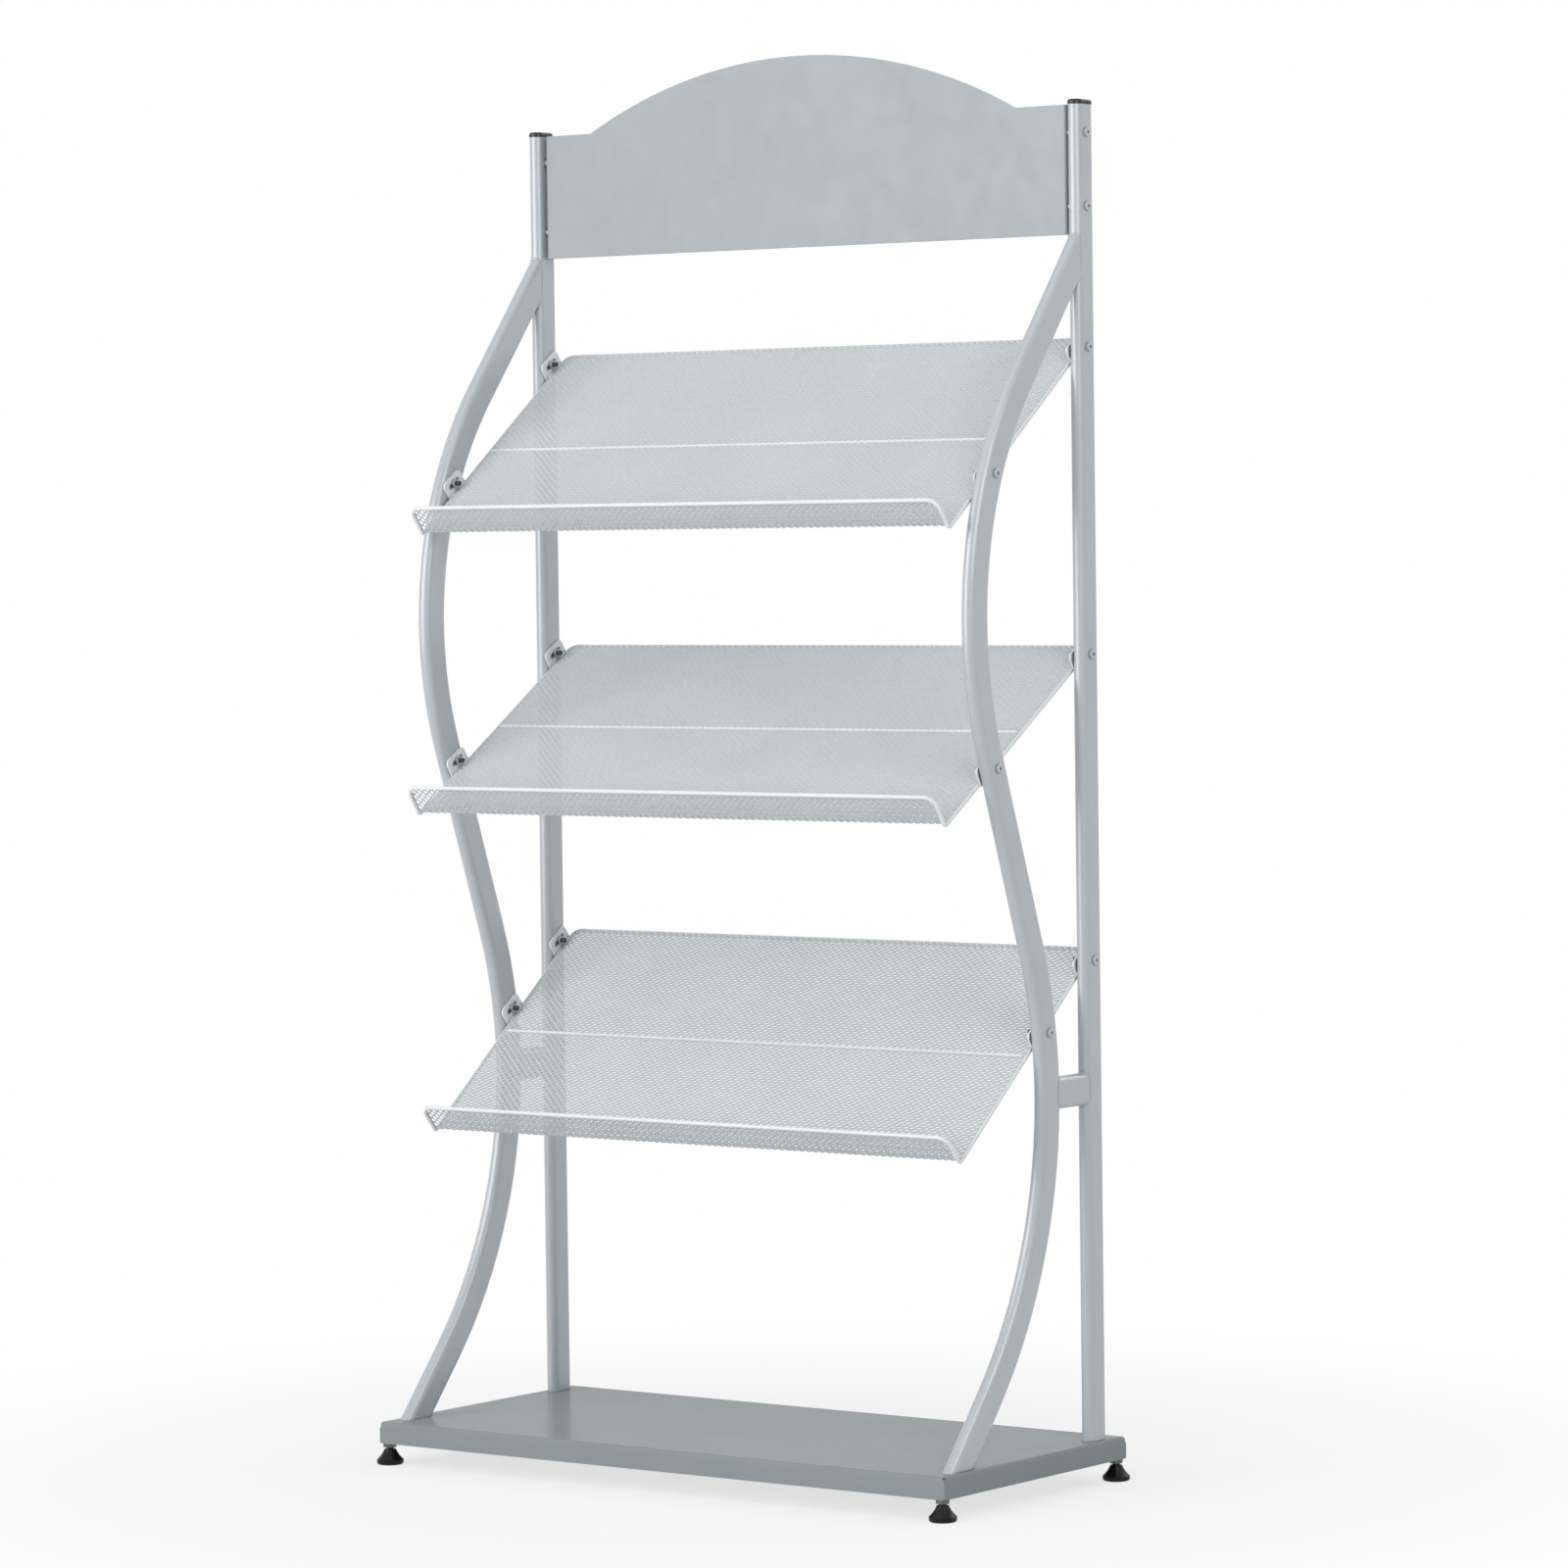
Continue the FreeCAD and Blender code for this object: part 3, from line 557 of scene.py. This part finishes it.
def oval_loop(centre, along):
    """Points round the curved tube's flat-oval section, just inside its outline."""
    across = Vector((1, 0, 0)).cross(along).normalized()
    flat = (TUBE_SECTION - TUBE_THICKNESS) / 2
    radius = TUBE_THICKNESS / 2 * BEAD_INSIDE
    loop = []
    for sign in (1, -1):
        for k in range(HALF_ROUND_STEPS + 1):
            angle = math.pi * (k / HALF_ROUND_STEPS - 0.5)
            out = across * (sign * math.cos(angle)) + Vector((sign * math.sin(angle), 0, 0))
            loop.append(centre + across * (sign * flat) + out * radius)
        for k in range(1, FLAT_STEPS):
            edge = flat * (1 - 2 * k / FLAT_STEPS)
            loop.append(centre + across * (sign * edge) + Vector((sign * radius, 0, 0)))
    return loop


def weld_bead(name, target, centre, along):
    """A rippled bead where a tube's section runs into another tube."""
    surface = surface_of(target)
    hits = [surface.ray_cast(start, along)[0] for start in oval_loop(centre, along)]
    points = [hit for hit in hits if hit is not None]
    radii = [rippled(BEAD_RADIUS, BEAD_RIPPLE, k) for k in range(len(points))]
    vertices, faces = ringed(points, radii, BEAD_SEGMENTS, True)
    add_piece(name, vertices, faces, "tube_silver", smooth=True)


def tab_bead(at, along):
    """A short bead with rounded ends along a direction."""
    points, radii = [], []
    for k in range(TAB_BEAD_STEPS + 1):
        share = 2 * k / TAB_BEAD_STEPS - 1
        points.append(at + along * (share * TAB_BEAD_LENGTH / 2))
        rounding = math.sqrt(max(BLUNT_END, 1 - share ** 4))
        radii.append(rippled(TAB_BEAD_RADIUS, TAB_BEAD_RIPPLE, k) * rounding)
    return ringed(points, radii, BEAD_SEGMENTS, False)


REARWARD = Vector((0, 1, 0))
top_run = Vector((0, POST_Y - FRONT_KNEE_Y, JOIN_Z - FRONT_KNEE_Z)).normalized()
for side_name, side in (("left", -1), ("right", 1)):
    post = f"rear_post_{side_name}"
    join = Vector((side * POST_X, POST_Y, JOIN_Z))
    weld_bead(f"join_weld_{side_name}", post, join - top_run * JOIN_RUN_UP, top_run)
    strut_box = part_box(f"side_strut_{side_name}")
    strut_middle = Vector((side * POST_X, (strut_box[0][1] + strut_box[1][1]) / 2, STRUT_Z))
    weld_bead(f"strut_rear_weld_{side_name}", post, strut_middle, REARWARD)
    weld_bead(f"strut_front_weld_{side_name}", f"curved_tube_{side_name}", strut_middle, -REARWARD)

for shelf in SHELF_SLOPES:
    matrix = shelf_matrix(shelf)
    slope = (matrix @ Vector((0, 1, 0)) - matrix @ Vector((0, 0, 0))).normalized()
    beads = []
    for side_name, side in (("left", -1), ("right", 1)):
        for end in ("front", "rear"):
            low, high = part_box(f"{shelf}_shelf_tab_{end}_{side_name}")
            middle = matrix.inverted() @ ((Vector(low) + Vector(high)) / 2)
            for offset in (-TAB_BEAD_OFFSET, TAB_BEAD_OFFSET):
                x = side * (SHELF_HALF_WIDTH + TAB_BEAD_SIDE)
                at = matrix @ Vector((x, middle.y + offset, TAB_BEAD_HEIGHT))
                beads.append(tab_bead(at, slope))
    add_piece(f"{shelf}_shelf_tab_welds", *joined(beads), "wire_white", smooth=True)


# Corner seams of the tray: an outer bead up to the relief hole and an inner one that closes its back

SEAM_STEPS = 30
SEAM_SEGMENTS = 10
SEAM_ABOVE_EDGE = 0.0004
SEAM_START = BASE_BOTTOM + SEAM_ABOVE_EDGE
SEAM_RADIUS = 0.0016
SEAM_INSET = 0.0012
SEAM_BELOW_TOP = 0.0058
SEAM_RIPPLE = (0.06, 1.9)
SEAM_END_SHARE = 0.55
ROOT_RADIUS = 0.0014
ROOT_INSET = 0.0025
ROOT_BELOW_TOP = 0.0016
ROOT_RIPPLE = (0.05, 2.3)


def seam_bead(side, end, inset, below_top, radius, ripple, end_share):
    """An upright bead in one corner of the tray, up to some distance below its top."""
    foot = Vector((side * (BASE_HALF_X - inset), end * (BASE_HALF_Y - inset), 0))
    length = BASE_TOP - below_top - SEAM_START
    points = [foot + Vector((0, 0, SEAM_START + length * k / SEAM_STEPS)) for k in range(SEAM_STEPS + 1)]
    radii = [rippled(radius, ripple, k) for k in range(SEAM_STEPS + 1)]
    radii[0] *= end_share
    radii[-1] *= end_share
    return ringed(points, radii, SEAM_SEGMENTS, False)


for side_name, side in (("left", -1), ("right", 1)):
    for end_name, end in (("front", -1), ("rear", 1)):
        outer = seam_bead(side, end, SEAM_INSET, SEAM_BELOW_TOP, SEAM_RADIUS, SEAM_RIPPLE, SEAM_END_SHARE)
        inner = seam_bead(side, end, ROOT_INSET, ROOT_BELOW_TOP, ROOT_RADIUS, ROOT_RIPPLE, 1.0)
        add_piece(f"tray_seam_{end_name}_{side_name}", *joined([outer, inner]), "base_grey", smooth=True)


# Threaded studs of the levelling feet

THREAD_PITCH = 0.00125
THREAD_DEPTH = 0.0006
THREAD_SEGMENTS = 24
THREAD_ROWS_A_TURN = 8
STUD_CHAMFER = 0.001


def thread_height(phase):
    """How far the thread stands out at a phase of its turn, from a flat root at 0 to a flat crest at 1."""
    return min(1.0, max(0.0, 1.5 - abs(phase - 0.5) * 4))


def threaded_stud(low, high, centre, radius):
    """A screw thread between two heights, within a radius, with a chamfer at its upper end."""
    rows = int((high - low) / THREAD_PITCH * THREAD_ROWS_A_TURN)
    vertices, faces = [], []
    for row in range(rows + 1):
        z = low + (high - low) * row / rows
        limit = min(radius, radius - STUD_CHAMFER + (high - z))
        for s in range(THREAD_SEGMENTS):
            turn = s / THREAD_SEGMENTS
            phase = ((z - low) / THREAD_PITCH - turn) % 1.0
            r = min(limit, radius - THREAD_DEPTH * (1 - thread_height(phase)))
            angle = 2 * math.pi * turn
            vertices.append(Vector((centre.x + r * math.cos(angle), centre.y + r * math.sin(angle), z)))
    for row in range(rows):
        for s in range(THREAD_SEGMENTS):
            n = (s + 1) % THREAD_SEGMENTS
            here, above = row * THREAD_SEGMENTS, (row + 1) * THREAD_SEGMENTS
            faces.append((here + s, here + n, above + n, above + s))
    faces.append(tuple(range(THREAD_SEGMENTS))[::-1])
    faces.append(tuple(range(rows * THREAD_SEGMENTS, (rows + 1) * THREAD_SEGMENTS)))
    return vertices, faces


for corner in ("front_left", "front_right", "rear_left", "rear_right"):
    low, high = (Vector(point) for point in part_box(f"foot_stud_{corner}"))
    vertices, faces = threaded_stud(low.z, high.z, (low + high) / 2, (high.x - low.x) / 2)
    stud = add_piece(f"foot_thread_{corner}", vertices, faces, "zinc_steel", f"foot_{corner}")
    # The studs take the zinc with painted shade.
    dress(stud, ZINC_IN_PAINTED_SHADE)
    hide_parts(f"foot_stud_{corner}")


# Stage

WHITE = (1, 1, 1, 1)
FLOOR_HALF = 30.0
FLOOR_COLOUR = (0.9, 0.9, 0.9, 1)
FLOOR_GLOW = 0.72
FLOOR_FADE_START = 0.45
FLOOR_FADE_END = 1.2
WORLD_COLOUR = (0.98, 0.99, 1.0, 1)
WORLD_STRENGTH = 0.46


def seen_or_mirrored(tree):
    """1 for rays from the camera, straight or mirrored, and 0 for the light that falls."""
    path = tree.nodes.new("ShaderNodeLightPath")
    return calculated(tree, "MAXIMUM", path.outputs["Is Camera Ray"], path.outputs["Is Glossy Ray"])


def blend_shaders(tree, factor, first, second):
    """A mix of two shaders by a factor socket."""
    mix = tree.nodes.new("ShaderNodeMixShader")
    tree.links.new(factor, mix.inputs["Fac"])
    tree.links.new(first, mix.inputs[1])
    tree.links.new(second, mix.inputs[2])
    return mix.outputs["Shader"]


def stage_floor():
    """A pale floor that fades to the white background away from the rack."""
    mesh = bpy.data.meshes.new("floor")
    corners = [(x * FLOOR_HALF, y * FLOOR_HALF, 0) for x, y in ((-1, -1), (1, -1), (1, 1), (-1, 1))]
    mesh.from_pydata(corners, [], [(0, 1, 2, 3)])
    floor = bpy.data.objects.new("floor", mesh)
    bpy.context.scene.collection.objects.link(floor)
    material, tree, shader, coords = new_material("floor_white")
    shader.inputs["Base Color"].default_value = FLOOR_COLOUR
    shader.inputs["Roughness"].default_value = 0.9
    shader.inputs["Specular IOR Level"].default_value = 0.0
    glow = tree.nodes.new("ShaderNodeEmission")
    glow.inputs["Color"].default_value = WHITE
    distance = tree.nodes.new("ShaderNodeVectorMath")
    distance.operation = "LENGTH"
    tree.links.new(coords.outputs["Object"], distance.inputs[0])
    fade = remap(tree, distance.outputs["Value"], FLOOR_GLOW, 1, start=FLOOR_FADE_START, end=FLOOR_FADE_END)
    whiter = calculated(tree, "MULTIPLY", fade, seen_or_mirrored(tree))
    surface = blend_shaders(tree, whiter, shader.outputs["BSDF"], glow.outputs["Emission"])
    tree.links.new(surface, tree.nodes["Material Output"].inputs["Surface"])
    mesh.materials.append(material)


def stage_world():
    """White to the camera and in reflections, a softer grey as light."""
    world = bpy.data.worlds.new("studio")
    bpy.context.scene.world = world
    world.use_nodes = True
    tree = world.node_tree
    light = tree.nodes["Background"]
    light.inputs["Color"].default_value = WORLD_COLOUR
    light.inputs["Strength"].default_value = WORLD_STRENGTH
    white = tree.nodes.new("ShaderNodeBackground")
    white.inputs["Color"].default_value = WHITE
    white.inputs["Strength"].default_value = 1.0
    seen = seen_or_mirrored(tree)
    sky = blend_shaders(tree, seen, light.outputs["Background"], white.outputs["Background"])
    tree.links.new(sky, tree.nodes["World Output"].inputs["Surface"])


def soft_box(name, place, target, width, height, power):
    """A large area lamp pointed at a place."""
    lamp = bpy.data.lights.new(name, "AREA")
    lamp.shape = "RECTANGLE"
    lamp.size = width
    lamp.size_y = height
    lamp.energy = power
    obj = bpy.data.objects.new(name, lamp)
    obj.location = place
    obj.rotation_euler = (Vector(target) - Vector(place)).to_track_quat("-Z", "Y").to_euler()
    bpy.context.scene.collection.objects.link(obj)


CAMERA_AZIMUTH = 36.54
CAMERA_ELEVATION = 2.37
CAMERA_ROLL = -0.73
CAMERA_TARGET = (0.0569, 0, 0.7107)
SENSOR_WIDTH = 36.0
PHOTO_WIDTH = 1600
FOCAL_IN_PIXELS = 6269.0
CAMERA_DISTANCE = 6.271


def stage_camera():
    """The photograph's viewpoint."""
    azimuth, elevation, roll = map(math.radians, (CAMERA_AZIMUTH, CAMERA_ELEVATION, CAMERA_ROLL))
    towards = Vector((math.sin(azimuth) * math.cos(elevation), -math.cos(azimuth) * math.cos(elevation),
                      math.sin(elevation)))
    right = (-towards).cross(Vector((0, 0, 1))).normalized()
    up = right.cross(-towards)
    right, up = (math.cos(roll) * right + math.sin(roll) * up, math.cos(roll) * up - math.sin(roll) * right)
    data = bpy.data.cameras.new("camera")
    data.sensor_width = SENSOR_WIDTH
    data.lens = FOCAL_IN_PIXELS / PHOTO_WIDTH * SENSOR_WIDTH
    data.clip_end = 100.0
    camera = bpy.data.objects.new("camera", data)
    turn = Matrix((right, up, towards)).transposed().to_4x4()
    camera.matrix_world = Matrix.Translation(Vector(CAMERA_TARGET) + towards * CAMERA_DISTANCE) @ turn
    bpy.context.scene.collection.objects.link(camera)
    bpy.context.scene.camera = camera


stage_floor()
stage_world()
stage_camera()
soft_box("key", (-1.7, -3.8, 1.75), (0, 0, 0.75), width=3.2, height=3.0, power=83)
soft_box("fill", (1.8, -0.9, 1.8), (0.1, 0, 1.0), width=1.0, height=1.2, power=9)
soft_box("top", (0.1, -0.9, 2.7), (0, 0, 1.0), width=1.4, height=1.0, power=3)
soft_box("back", (0.5, 3.2, 2.6), (0, 0, 0.8), width=2.4, height=1.6, power=24)
bpy.context.scene.view_settings.view_transform = "Standard"
